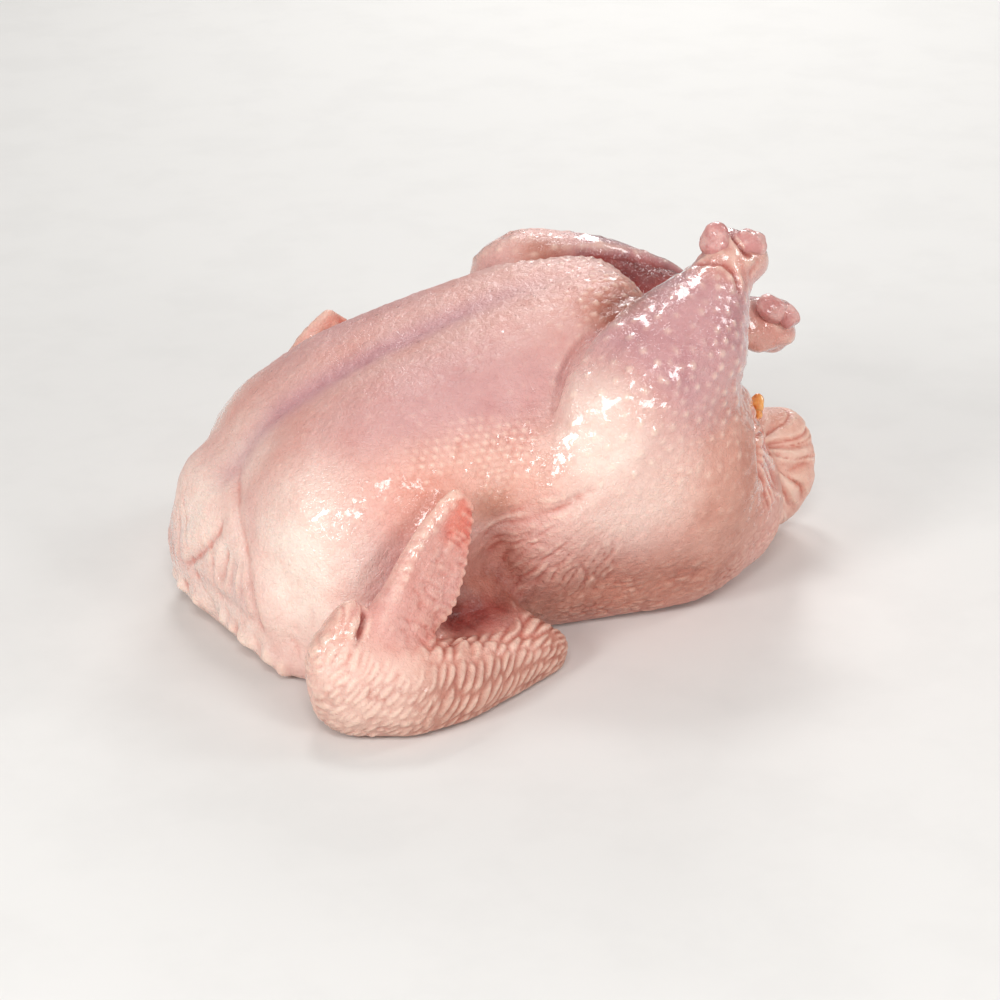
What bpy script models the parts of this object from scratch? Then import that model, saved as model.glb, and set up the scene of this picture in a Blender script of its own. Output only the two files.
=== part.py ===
"""Whole raw chicken, plucked and drawn, lying on its back with the breast up: one solid, 267 mm long.

+X runs from the neck to the tail, +Y to the bird's left, +Z up; the origin is the middle of its foot print.
Each muscle is a hull round a few balls. The hulls are melted together in stages, the widest blends first.
"""
import math

import bmesh
import bpy
from mathutils import Euler, Matrix, Vector

MM = 0.001

# Driving dimensions, in millimetres. The bird's right side is the near one, at -Y; its limbs lie unevenly.
KEEL_TIP = Vector((41, 0, 106))         # rear end of the breast bone
NEAR_KNEE = Vector((14, -60, 87))
NEAR_HOCK = Vector((77, -38, 139))
FAR_KNEE = Vector((31, 57, 99))
FAR_HOCK = Vector((120, 11, 85))
SHOULDER = Vector((-84, 50, 40))        # the joints of a wing are given for the left side
NEAR_ELBOW = Vector((-17, 78, 8))
NEAR_WRIST = Vector((-98, 93, 17))
NEAR_WING_TIP = Vector((-52, 73, 78))
FAR_ELBOW = Vector((-6, 78, 8))
FAR_WRIST = Vector((-86, 88, 17))
FAR_WING_TIP = Vector((-48, 76, 92))
TRIANGLES = 9600                        # of the finished solid


def clear_scene():
    for item in list(bpy.data.objects):
        bpy.data.objects.remove(item)


def collection(name):
    made = bpy.data.collections.new(name)
    bpy.context.scene.collection.children.link(made)
    return made


def ball(centre, radii, turn=(0, 0, 0)):
    """A ball's place, its radii along its own axes and its turn in degrees."""
    radii = (radii,) * 3 if isinstance(radii, (int, float)) else radii
    return Vector(centre), Vector(radii), turn


def mirrored(balls):
    """The same balls on the other side of the midplane."""
    return [
        (Vector((c.x, -c.y, c.z)), r, (-t[0], t[1], -t[2]))
        for c, r, t in balls
    ]


def links(chain):
    """Each pair of neighbours in a chain of balls."""
    return list(zip(chain, chain[1:]))


def hull(balls):
    """A new mesh: the convex hull round some balls."""
    shape = bmesh.new()
    for centre, radii, turn in balls:
        place = (
            Matrix.Translation(centre * MM)
            @ Euler([math.radians(a) for a in turn]).to_matrix().to_4x4()
            @ Matrix.Diagonal((*(radii * MM), 1))
        )
        bmesh.ops.create_icosphere(shape, subdivisions=3, radius=1, matrix=place)
    bmesh.ops.delete(shape, geom=shape.faces[:], context="FACES_ONLY")
    bmesh.ops.convex_hull(shape, input=shape.verts[:], use_existing_faces=False)
    inside = [v for v in shape.verts if not v.link_faces]
    bmesh.ops.delete(shape, geom=inside, context="VERTS")
    bmesh.ops.recalc_face_normals(shape, faces=shape.faces)
    made = bpy.data.meshes.new("hull")
    shape.to_mesh(made)
    shape.free()
    return made


def helper(name, shape):
    """An object from a shape, among the helpers, which takes the shape's memory back."""
    mesh = bpy.data.meshes.new(name)
    shape.to_mesh(mesh)
    shape.free()
    made = bpy.data.objects.new(name, mesh)
    made.hide_render = True
    made.display_type = "WIRE"
    helpers.objects.link(made)
    return made


def form(name, groups):
    """One part of the body: a hull round each group of balls."""
    shape = bmesh.new()
    for balls in groups:
        shape.from_mesh(hull(balls))
    return helper(name, shape)


def melted(name, forms, voxel, rounds):
    """Joins forms into one closed skin on a voxel grid, and smooths the creases where they meet."""
    shape = bmesh.new()
    for member in forms:
        shape.from_mesh(member.data)
    made = helper(name, shape)
    remesh = made.modifiers.new("Melt", "REMESH")
    remesh.mode = "VOXEL"
    remesh.voxel_size = voxel * MM
    smooth = made.modifiers.new("Smooth", "SMOOTH")
    smooth.factor = 0.5
    smooth.iterations = rounds
    return applied(made)


def applied(made):
    """The object with its modifiers made part of its mesh."""
    graph = bpy.context.evaluated_depsgraph_get()
    mesh = bpy.data.meshes.new_from_object(made.evaluated_get(graph))
    made.modifiers.clear()
    made.data = mesh
    return made


def trunk():
    """The back and the ribs, flat underneath, then the belly, falling from the breast bone to the tail."""
    back = [
        ball((-86, 0, 33), (34, 60, 35)),
        ball((-30, 0, 41), (50, 60, 44)),
        ball((40, 0, 36), (45, 50, 39)),
        ball((94, 0, 22), (26, 30, 24)),
    ]
    belly = [ball((24, 0, 68), (32, 38, 36)), ball((92, 0, 36), (20, 26, 22))]
    return form("trunk", [*links(back), belly])


def breast():
    """The two breast muscles, broad at the shoulders and narrow at the tip, parted by the keel's shallow groove."""
    muscle = [
        ball((-84, 19, 49), (31, 49, 42)),
        ball((-55, 19, 60), (40, 53, 44.5)),
        ball((-15, 16, 73), (40, 49, 44.5)),
        ball((12, 13, 81), (34, 45, 43)),
        ball((32, 10, 91), (24, 33, 36)),
        ball(KEEL_TIP + Vector((0, 7, 0)), (13, 16, 20)),
    ]
    return form("breast", links(muscle) + links(mirrored(muscle)))


def thighs():
    muscle = [
        ball((0, 58, 66), (27, 25, 30)),
        ball((-16, 41, 24), (24, 20, 25)),
        ball((5, 43, 24), (27, 19, 25)),
        ball((46, 56, 62), (32, 25, 33)),
        ball((50, 44, 24), (33, 21, 25)),
        ball((60, 46, 76), (22, 18, 20)),
        ball((82, 28, 30), (22, 22, 30)),
    ]
    return form("thighs", [muscle, mirrored(muscle)])


def drumstick(knee, hock, calf):
    """A leg from the knee to the bare joint at the hock, its calf thrown out to one side.

    Skin bridges the fold between the leg and the thigh under it.
    """
    calf = Vector(calf).normalized()
    stations = [
        (0.00, 24, 0),
        (0.25, 26, 2),
        (0.50, 25, 6),
        (0.68, 17.5, 3.5),
        (0.82, 12.5, 1),
        (0.91, 10, 0),
    ]
    muscle = [ball(knee.lerp(hock, t) + calf * out, r) for t, r, out in stations]
    joint = [ball(hock - calf * 6, 9.5), ball(hock + calf * 6, 9)]
    side = math.copysign(1, knee.y)
    skin = [
        ball(knee + Vector((1, 0, -2)), 22),
        ball(knee.lerp(hock, 0.46) + calf * 7, 22),
        ball((4, side * 60, 62), 21),
        ball((48, side * 56, 62), 24),
    ]
    return form("drumstick", [*links(muscle), [muscle[-1], *joint], skin])


def tail():
    stump = [
        ball((92, 0, 26), (26, 28, 26)),
        ball((115, 0, 28), (20, 17, 26)),
    ]
    return form("tail", [stump])


def neck_skin():
    """The loose skin of the neck, folded down over the cut and spread where it meets the ground."""
    pad = [
        ball((-100, -12, 48), (20, 26, 20)),
        ball((-106, 20, 47), (23, 26, 20)),
        ball((-102, -28, 24), (20, 26, 20)),
        ball((-110, 24, 24), (23, 28, 20)),
        ball((-101, -28, 12), (19, 28, 12)),
        ball((-106, 22, 12), (23, 28, 12)),
    ]
    frill = [
        ball((-92, -60, 7), (14, 12, 8)),
        ball((-108, -32, 7), (12, 14, 8)),
        ball((-112, -6, 7), (12, 14, 8)),
        ball((-117, 18, 7), (12, 14, 8)),
        ball((-111, 42, 7), (12, 14, 8)),
        ball((-94, 62, 7), (14, 12, 8)),
    ]
    return form("neck_skin", [pad, *links(frill)])


def wing(elbow, wrist, tip):
    """A folded wing: upper arm back to the elbow, forearm forward to the wrist, hand up along the breast.

    A web of skin fills the bend of the arm down to the ground.
    """
    upper_arm = [ball(SHOULDER, 20), ball(SHOULDER.lerp(elbow, 0.5), (15, 14, 14)), ball(elbow, 9.5)]
    forearm = [
        ball(elbow.lerp(wrist, t) + Vector((-0.4 * bow, bow, 0)), r)
        for t, bow, r in [(0, 0, 9.5), (0.25, 6, 12), (0.5, 12, 14.5), (0.75, 11, 16.5), (1, 0, 18)]
    ]
    rise = tip - wrist
    back = Vector((rise.z, 0, -rise.x)).normalized()
    lean = (0, math.degrees(math.atan2(rise.x, rise.z)), 0)
    hand = [ball(wrist, (17, 16, 17))]
    for t, shift, inward, wide, thick, tall in [
        (0.25, 5, 1, 14, 9, 12),
        (0.48, 7, 2.5, 12, 6.5, 10),
        (0.70, 7.5, 2.5, 10, 5, 9),
        (0.86, 6, 1.5, 7, 4, 6),
        (0.98, 3, 0.5, 3.6, 3, 3.2),
    ]:
        centre = wrist.lerp(tip, t) + back * shift - Vector((0, inward, 0))
        hand.append(ball(centre, (wide, thick, tall), lean))
    thumb = [
        ball(wrist + Vector((-6, -3, 9)), (13, 11, 13)),
        ball(wrist.lerp(tip, 0.25) - back * 15, 7),
        ball(wrist.lerp(tip, 0.38) - back * 17, 3),
    ]
    web = [
        ball((-92, 52, 24), (14, 12, 20)),
        ball(wrist + Vector((10, -10, -4)), 11),
        ball((-40, 56, 22), (14, 12, 18)),
        ball(elbow + Vector((-18, 2, 0)), 8),
    ]
    return [web] + [group for chain in (upper_arm, forearm, hand, thumb) for group in links(chain)]


def chicken():
    body = melted("body", [trunk(), breast()], 2.5, 8)
    carcass = melted("carcass", [body, thighs(), neck_skin(), tail()], 2.2, 12)
    near_leg = drumstick(NEAR_KNEE, NEAR_HOCK, (0.69, 0, -0.72))
    far_leg = drumstick(FAR_KNEE, FAR_HOCK, (0, 0.3, -0.95))
    near_wing = [mirrored(group) for group in wing(NEAR_ELBOW, NEAR_WRIST, NEAR_WING_TIP)]
    far_wing = wing(FAR_ELBOW, FAR_WRIST, FAR_WING_TIP)
    wings = form("wings", near_wing + far_wing)
    return melted("whole", [carcass, near_leg, far_leg, wings], 1.8, 5)


def faceted(made, triangles):
    """The same skin with fewer, larger triangles."""
    made.data.calc_loop_triangles()
    decimate = made.modifiers.new("Facet", "DECIMATE")
    decimate.ratio = triangles / len(made.data.loop_triangles)
    return applied(made)


def rested(made):
    """The underside cut flat where it rests, and the whole moved until the origin is the middle of its foot print."""
    box = bmesh.new()
    bmesh.ops.create_cube(box, size=1, matrix=Matrix.Translation((0, 0, -0.5)))
    cut = made.modifiers.new("Flat", "BOOLEAN")
    cut.operation = "DIFFERENCE"
    cut.solver = "EXACT"
    cut.object = helper("ground", box)
    rest = applied(made)
    places = [v.co for v in rest.data.vertices]
    middle = Vector((
        (min(p.x for p in places) + max(p.x for p in places)) / 2,
        (min(p.y for p in places) + max(p.y for p in places)) / 2,
        0,
    ))
    rest.data.transform(Matrix.Translation(-middle))
    return rest


clear_scene()
helpers = collection("helpers")
solid = rested(faceted(chicken(), TRIANGLES))
solid.name = "chicken"
helpers.objects.unlink(solid)
collection("whole_chicken").objects.link(solid)
solid.hide_render = False
solid.display_type = "TEXTURED"
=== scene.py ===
"""Looks of the whole raw chicken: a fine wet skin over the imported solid, its colours, and a pale studio.

Lengths in this file are millimetres in the bird's own frame unless a name ends in _m: +X from the neck to the
tail, y = 0 on the breast bone, z = 0 on the ground. The right side, at -Y, is the near one.
"""

import math

import bmesh
import bpy
import numpy as np
from mathutils import Euler, Matrix, Vector
from mathutils.kdtree import KDTree


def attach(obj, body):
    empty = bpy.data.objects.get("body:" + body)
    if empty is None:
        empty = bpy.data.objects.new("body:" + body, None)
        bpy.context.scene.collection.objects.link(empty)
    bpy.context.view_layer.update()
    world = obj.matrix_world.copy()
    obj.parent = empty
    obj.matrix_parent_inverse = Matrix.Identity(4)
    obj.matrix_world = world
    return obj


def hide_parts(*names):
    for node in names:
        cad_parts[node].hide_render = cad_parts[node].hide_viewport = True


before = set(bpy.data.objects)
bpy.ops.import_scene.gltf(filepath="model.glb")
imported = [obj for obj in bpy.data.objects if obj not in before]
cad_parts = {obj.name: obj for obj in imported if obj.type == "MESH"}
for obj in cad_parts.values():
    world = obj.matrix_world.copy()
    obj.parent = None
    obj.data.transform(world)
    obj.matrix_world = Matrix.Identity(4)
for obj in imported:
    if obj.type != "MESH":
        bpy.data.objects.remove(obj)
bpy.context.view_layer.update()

MM = 0.001
OWN_ORIGIN = np.array([1.0, -1.9, 0.0])   # the middle of the foot print, in the bird's own frame
VOXEL = 0.9          # of the fine skin before it is thinned
SKIN_TRIANGLES = 196000


# ---------------------------------------------------------------- smooth random fields

def hashed(cells, seed):
    """A fixed random number from 0 to 1 for each row of whole numbers."""
    n = cells.astype(np.int64)
    h = (n * np.array([73856093, 19349663, 83492791][: n.shape[1]])).sum(1) + seed * 2654435
    h = (h ^ (h >> 13)) * 1274126177 & 0x7FFFFFFF
    h = (h ^ (h >> 15)) * 668265263 & 0x7FFFFFFF
    return ((h ^ (h >> 14)) & 0xFFFFF) / 1048575.0


def noise(places, size, seed):
    """Smooth noise from -1 to 1 that changes over about size."""
    q = places / size
    cell = np.floor(q)
    t = q - cell
    t = t * t * t * (t * (t * 6 - 15) + 10)
    total = np.zeros(len(q))
    for corner in np.ndindex(2, 2, 2):
        c = np.array(corner)
        share = np.where(c, t, 1 - t).prod(1)
        total += share * hashed(cell + c, seed)
    return total * 2 - 1


def cracks(places, size, seed):
    """Distance from the walls of a net of random cells about size across, 0 on a wall and about 1 inside."""
    q = places / size
    cell = np.floor(q)
    nearest = np.full((2, len(q)), 9.0)
    for corner in np.ndindex(3, 3, 3):
        c = cell + np.array(corner) - 1
        seeds = np.stack([hashed(c, seed + k) for k in (0, 1, 2)], 1)
        d = np.sqrt(((c + seeds - q) ** 2).sum(1))
        further = np.maximum(nearest[0], d)
        nearest[0] = np.minimum(nearest[0], d)
        nearest[1] = np.minimum(nearest[1], further)
    return nearest[1] - nearest[0]


def ramp(value, low, high):
    """0 at low, 1 at high, with soft ends."""
    t = np.clip((value - low) / (high - low), 0, 1)
    return t * t * (3 - 2 * t)


def patch(places, centre, radii, soft=0.5):
    """1 in an egg-shaped region, falling to 0 across its soft outer share."""
    d = np.sqrt((((places - np.array(centre)) / np.array(radii)) ** 2).sum(1))
    return 1 - ramp(d, 1 - soft, 1 + soft)


# ---------------------------------------------------------------- limbs as chains of balls

def chain_field(places, chain):
    """For each place: how far outside the chain it is, how far along the chain, and the angle round it."""
    best = np.full(len(places), 1e9)
    along = np.zeros(len(places))
    gone = 0.0
    for (ax, ay, az, ar), (bx, by, bz, br) in zip(chain, chain[1:]):
        a, b = np.array((ax, ay, az)), np.array((bx, by, bz))
        step = b - a
        length = np.linalg.norm(step)
        t = np.clip((places - a) @ step / length**2, 0, 1)
        d = np.linalg.norm(places - a - t[:, None] * step, axis=1) - (ar + (br - ar) * t)
        better = d < best
        best = np.where(better, d, best)
        along = np.where(better, gone + t * length, along)
        gone += length
    first, last = np.array(chain[0][:3]), np.array(chain[-1][:3])
    axis = (last - first) / np.linalg.norm(last - first)
    side = np.cross(axis, (0, 0, 1.0))
    side /= np.linalg.norm(side)
    over = np.cross(side, axis)
    rel = places - first
    angle = np.arctan2(rel @ side, rel @ over)
    return best, along, angle


def lerp(a, b, t):
    return tuple(p + (q - p) * t for p, q in zip(a, b))


NEAR_KNEE, NEAR_HOCK = (14, -60, 87), (77, -38, 139)
FAR_KNEE, FAR_HOCK = (31, 57, 99), (120, 11, 85)
NEAR_ELBOW, NEAR_WRIST, NEAR_WING_TIP = (-17, -78, 8), (-98, -93, 17), (-52, -73, 78)
FAR_ELBOW, FAR_WRIST, FAR_WING_TIP = (-6, 78, 8), (-86, 88, 17), (-48, 76, 92)


def leg_chain(knee, hock):
    return [(*lerp(knee, hock, t), r) for t, r in ((0, 23), (0.3, 25), (0.55, 22), (0.75, 15), (0.9, 10.5), (1, 12))]


def forearm_chain(elbow, wrist):
    out = math.copysign(1, elbow[1])
    stations = ((0, 0, 9.5), (0.25, 6, 12), (0.5, 12, 14.5), (0.75, 11, 16.5), (1, 0, 18))
    points = [(lerp(elbow, wrist, t), bow, r) for t, bow, r in stations]
    return [(x - 0.4 * bow, y + out * bow, z, r) for (x, y, z), bow, r in points]


def hand_chain(wrist, tip):
    stations = ((0.1, 14), (0.3, 12), (0.5, 10), (0.7, 8), (0.9, 5), (1, 3))
    points = [(lerp(wrist, tip, t), r) for t, r in stations]
    return [(x + 4, y, z, r) for (x, y, z), r in points]


# ---------------------------------------------------------------- the fine mesh

def own_copy(node):
    """The node's surface as a bmesh in the bird's own frame, in millimetres."""
    shape = bmesh.new()
    shape.from_mesh(node.data)
    bmesh.ops.transform(shape, matrix=Matrix.Translation(OWN_ORIGIN) @ Matrix.Scale(1 / MM, 4), verts=shape.verts)
    return shape


def remeshed(shape, voxel, name):
    """A bmesh as one closed skin of even quads."""
    mesh = bpy.data.meshes.new(name)
    shape.to_mesh(mesh)
    shape.free()
    made = bpy.data.objects.new(name, mesh)
    bpy.context.scene.collection.objects.link(made)
    remesh = made.modifiers.new("Remesh", "REMESH")
    remesh.mode = "VOXEL"
    remesh.voxel_size = voxel
    graph = bpy.context.evaluated_depsgraph_get()
    fine = bpy.data.meshes.new_from_object(made.evaluated_get(graph))
    bpy.data.objects.remove(made)
    return fine


def read_mesh(mesh):
    """Places, triangles and edges as arrays."""
    places = np.empty(len(mesh.vertices) * 3, np.float32)
    mesh.vertices.foreach_get("co", places)
    mesh.calc_loop_triangles()
    triangles = np.empty(len(mesh.loop_triangles) * 3, np.int32)
    mesh.loop_triangles.foreach_get("vertices", triangles)
    edges = np.empty(len(mesh.edges) * 2, np.int32)
    mesh.edges.foreach_get("vertices", edges)
    return places.reshape(-1, 3).astype(float), triangles.reshape(-1, 3), edges.reshape(-1, 2)


def write_places(mesh, places):
    mesh.vertices.foreach_set("co", places.astype(np.float32).ravel())
    mesh.update()


def gathered(values, edges, count):
    """The mean of each vertex's neighbours."""
    a, b = edges[:, 0], edges[:, 1]
    number = np.bincount(a, minlength=count) + np.bincount(b, minlength=count)
    columns = [
        np.bincount(a, values[b, k], count) + np.bincount(b, values[a, k], count)
        for k in range(values.shape[1])
    ]
    return np.stack(columns, 1) / number[:, None]


def relaxed(places, edges, rounds, share=0.5):
    """Places drawn towards their neighbours, as a whole or by a share for each vertex."""
    share = share if np.isscalar(share) else share[:, None]
    for _ in range(rounds):
        places = places + (gathered(places, edges, len(places)) - places) * share
    return places


def normals_of(places, triangles):
    a, b, c = (places[triangles[:, k]] for k in range(3))
    face = np.cross(b - a, c - a)
    total = np.stack(
        [sum(np.bincount(triangles[:, k], face[:, j], len(places)) for k in range(3)) for j in range(3)], 1
    )
    return total / np.linalg.norm(total, axis=1, keepdims=True)


def curve_points(points, step=1.5):
    """A smooth line through a few points."""
    p = np.array(points, float)
    p = np.vstack([2 * p[0] - p[1], p, 2 * p[-1] - p[-2]])
    out = []
    for i in range(1, len(p) - 2):
        n = max(2, int(np.linalg.norm(p[i + 1] - p[i]) / step))
        for t in np.linspace(0, 1, n, endpoint=False):
            out.append(0.5 * (
                2 * p[i]
                + (p[i + 1] - p[i - 1]) * t
                + (2 * p[i - 1] - 5 * p[i] + 4 * p[i + 1] - p[i + 2]) * t**2
                + (3 * p[i] - p[i - 1] - 3 * p[i + 1] + p[i + 2]) * t**3
            ))
    out.append(p[-2])
    return np.array(out)


def near_line(places, points, reach):
    """Distance of each place from a smooth line through points, and how far along it from 0 to 1."""
    line = curve_points(points)
    low, high = line.min(0) - reach, line.max(0) + reach
    inside = np.all((places > low) & (places < high), axis=1)
    distance = np.full(len(places), 1e3)
    along = np.zeros(len(places))
    here = places[inside]
    best = np.full(len(here), 1e3)
    where = np.zeros(len(here))
    for i, (a, b) in enumerate(zip(line, line[1:])):
        step = b - a
        t = np.clip((here - a) @ step / max(step @ step, 1e-9), 0, 1)
        d = np.linalg.norm(here - a - t[:, None] * step, axis=1)
        better = d < best
        best = np.where(better, d, best)
        where = np.where(better, (i + t) / (len(line) - 1), where)
    distance[inside] = best
    along[inside] = where
    return distance, along


def groove(places, points, depth, width, ends=0.2):
    """Height of a pressed line: -depth in its middle, faded at both ends. A negative depth raises it."""
    d, t = near_line(places, points, width * 3)
    fade = ramp(t, 0, ends) * (1 - ramp(t, 1 - ends, 1)) if ends else 1
    return -depth * np.exp(-((d / width) ** 2)) * fade


# ---------------------------------------------------------------- the folded hand's own axes

class Hand:
    """A folded hand: along its bone from wrist to tip, across towards its hind edge, and outwards."""

    def __init__(self, wrist, tip):
        self.wrist = np.array(wrist, float)
        rise = np.array(tip, float) - self.wrist
        self.length = np.linalg.norm(rise)
        self.along = rise / self.length
        self.across = np.array((rise[2], 0, -rise[0])) / math.hypot(rise[0], rise[2])
        self.out = np.cross(self.across, self.along) * -math.copysign(1, wrist[1])

    def point(self, t, across, out=0.0):
        return self.wrist + self.along * self.length * t + self.across * across + self.out * out

    def line(self, stations):
        return [self.point(*station) for station in stations]

    def coordinates(self, places):
        rel = places - self.wrist
        return rel @ self.along / self.length, rel @ self.across, rel @ self.out


HANDS = [Hand(NEAR_WRIST, NEAR_WING_TIP), Hand(FAR_WRIST, FAR_WING_TIP)]


def fore_edge(t):
    """How far across the hand its front edge lies, from the wrist to the tip."""
    return np.interp(t, (0.1, 0.29, 0.42, 0.62, 0.75, 0.91, 1.0), (-11, -9.5, -8.6, -8.6, -7.4, -4.6, -1))


def hind_edge(t):
    return np.interp(t, (0.15, 0.28, 0.38, 0.51, 0.64, 0.75, 0.96, 1.03), (5, 12, 18.4, 21, 20, 18, 11, 5))


# ---------------------------------------------------------------- crisp forms too fine for the solid

def hull(balls):
    """The convex hull round some balls, each (place, radius)."""
    shape = bmesh.new()
    for centre, r in balls:
        bmesh.ops.create_icosphere(shape, subdivisions=2, radius=r, matrix=Matrix.Translation(centre))
    bmesh.ops.delete(shape, geom=shape.faces[:], context="FACES_ONLY")
    bmesh.ops.convex_hull(shape, input=shape.verts[:], use_existing_faces=False)
    bmesh.ops.delete(shape, geom=[v for v in shape.verts if not v.link_faces], context="VERTS")
    bmesh.ops.recalc_face_normals(shape, faces=shape.faces)
    made = bpy.data.meshes.new("hull")
    shape.to_mesh(made)
    shape.free()
    return made


def pairs(rows):
    """A group of balls for each two neighbouring rows of balls."""
    return [a + b for a, b in zip(rows, rows[1:])]


def blade(hand):
    """The flat of a hand, from the round wrist to the tip, thinning to a hind edge as thin as skin."""
    front, back = [], []
    for t in (0.04, 0.12, 0.2, 0.28, 0.36, 0.44, 0.52, 0.6, 0.7, 0.8, 0.9, 0.98):
        fore, hind = fore_edge(t), hind_edge(t)
        thick = np.interp(t, (0.04, 0.2, 0.36, 0.52, 0.7, 0.9, 1), (13, 9, 6.4, 4.8, 3.6, 2.5, 2))
        flat = np.interp(t, (0.04, 0.2, 0.36, 0.52, 0.7, 0.9, 1), (13, 8.2, 4.8, 3.2, 2.4, 1.8, 1.5))
        edge = np.interp(t, (0.04, 0.2, 0.3, 0.4), (9, 4, 1.8, 1.1))
        middle = (hand.point(t, 0.5 * fore + 0.5 * hind, 1.8), flat)
        front.append([(hand.point(t, fore + thick, 1.0), thick), middle])
        back.append([middle, (hand.point(t, hind - edge, 1.6), edge)])
    return pairs(front) + pairs(back)


def fine_forms():
    groups = []
    for hand in HANDS:
        groups += blade(hand)
    # The far hand's tip shows over the breast, with skin running down in front of it.
    groups.append([((-47.5, 76, 90.5), 0.9), ((-50, 76, 83), 1.6), ((-61, 76, 77), 1.8), ((-56, 77, 62), 5)])
    # Skin pulled back from the far hock, like a cuff, below the bare joint.
    groups += pairs([
        [((106, 10, 86), 7), ((104, 12, 92), 6)],
        [((112, 9, 81), 6), ((123, 9, 82), 5.5), ((112, 12, 92), 6)],
    ])
    return groups


def fine_skin():
    """The node's surface, its facets relaxed, with the crisp forms melted on."""
    smooth = remeshed(own_copy(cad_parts["chicken"]), 1.8, "smooth")
    places, _, edges = read_mesh(smooth)
    ground = ramp(places[:, 2], 0.5, 3)
    places = relaxed(places, edges, 14, 0.5 * ground)
    lap = np.maximum(patch(places, (36, -80, 76), (38, 24, 30), 0.3), patch(places, (50, 76, 84), (38, 24, 30), 0.3))
    places = relaxed(places, edges, 130, 0.5 * lap)
    keel = np.exp(-((places[:, 1] / 12) ** 2)) * ramp(places[:, 2], 55, 72)
    thumb = sum(patch(places, hand.point(0.38, -13, 4), (8, 8, 8), 0.4) for hand in HANDS)
    write_places(smooth, relaxed(places, edges, 40, 0.5 * np.maximum(keel, thumb)))
    shape = bmesh.new()
    shape.from_mesh(smooth)
    for balls in fine_forms():
        shape.from_mesh(hull(balls))
    fine = remeshed(shape, VOXEL, "skin")
    places, _, edges = read_mesh(fine)
    write_places(fine, relaxed(places, edges, 4))
    return fine


# ---------------------------------------------------------------- what grows where

def regions(places):
    """A soft share of each limb for every vertex, and coordinates along and round each."""
    parts = {
        "near_leg": leg_chain(NEAR_KNEE, NEAR_HOCK),
        "far_leg": leg_chain(FAR_KNEE, FAR_HOCK),
        "near_forearm": forearm_chain(NEAR_ELBOW, NEAR_WRIST),
        "far_forearm": forearm_chain(FAR_ELBOW, FAR_WRIST),
        "near_hand": hand_chain(NEAR_WRIST, NEAR_WING_TIP),
        "far_hand": hand_chain(FAR_WRIST, FAR_WING_TIP),
        "tail": [(96, 0, 24, 24), (115, 0, 28, 20)],
        "neck": [(-104, -26, 26, 26), (-109, 24, 28, 26)],
        "near_thigh": [(0, -56, 50, 28), (48, -55, 50, 30), (78, -30, 32, 24)],
        "far_thigh": [(0, 56, 50, 28), (48, 55, 50, 30), (78, 30, 32, 24)],
        "trunk": [(-84, -19, 49, 42), (-55, -19, 60, 44), (-15, -16, 73, 44), (12, -13, 81, 43), (32, -16, 91, 32),
                  (41, -10, 106, 19)],
    }
    fields = {name: chain_field(places, chain) for name, chain in parts.items() if name != "trunk"}
    fields["trunk"] = chain_field(places * (1, 0, 1) - np.abs(places) * (0, 1, 0), parts["trunk"])
    distance = np.stack([fields[name][0] for name in parts])
    weight = np.exp(-(distance - distance.min(0)) / 2.0)
    weight /= weight.sum(0)
    return dict(zip(parts, weight)), fields


def beads(u, v, pitch_u, pitch_v, size, seed, jitter=0.3):
    """Round bumps in staggered rows, 1 on top of a bump and 0 between them."""
    row = np.floor(v / pitch_v)
    shifted = u / pitch_u + 0.5 * (row % 2)
    column = np.floor(shifted)
    cell = np.stack([column, row], 1)
    du = (shifted - column - 0.5 - jitter * (hashed(cell, seed) - 0.5)) * pitch_u
    dv = (v / pitch_v - row - 0.5 - jitter * (hashed(cell, seed + 7) - 0.5)) * pitch_v
    return np.exp(-(du**2 + dv**2) / size**2) * (0.5 + 0.5 * hashed(cell, seed + 3))


def scattered(places, share, spacing, seed):
    """Points spread over the skin wherever share is high, no two of them nearer than spacing."""
    draw = hashed(np.round(places * 20), seed)
    order = np.flatnonzero((share > 0.2) & (draw < 0.5))
    order = order[np.argsort(draw[order], kind="stable")]
    around_it = [(i, j, k) for i in (-1, 0, 1) for j in (-1, 0, 1) for k in (-1, 0, 1)]
    cells = {}
    for place in places[order]:
        i, j, k = (int(c // spacing) for c in place)
        near = (p for di, dj, dk in around_it for p in cells.get((i + di, j + dj, k + dk), ()))
        if all(sum((place - p) ** 2) >= spacing**2 for p in near):
            cells.setdefault((i, j, k), []).append(place)
    return [p for cell in cells.values() for p in cell]


def follicles(places, share, spacing, size, seed):
    """Round bumps spread evenly over the skin, as high as share, 1 on top of a bump and 0 between them."""
    chosen = scattered(places, share, spacing, seed)
    tree = KDTree(len(chosen))
    for index, place in enumerate(chosen):
        tree.insert(place, index)
    tree.balance()
    rise = 0.5 + 0.5 * hashed(np.arange(len(chosen))[:, None], seed + 3)
    bumps = np.zeros(len(places))
    for vertex in np.flatnonzero(share > 0.03):
        _, index, distance = tree.find(places[vertex])
        bumps[vertex] = math.exp(-((distance / size) ** 2)) * rise[index]
    return bumps * share


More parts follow.
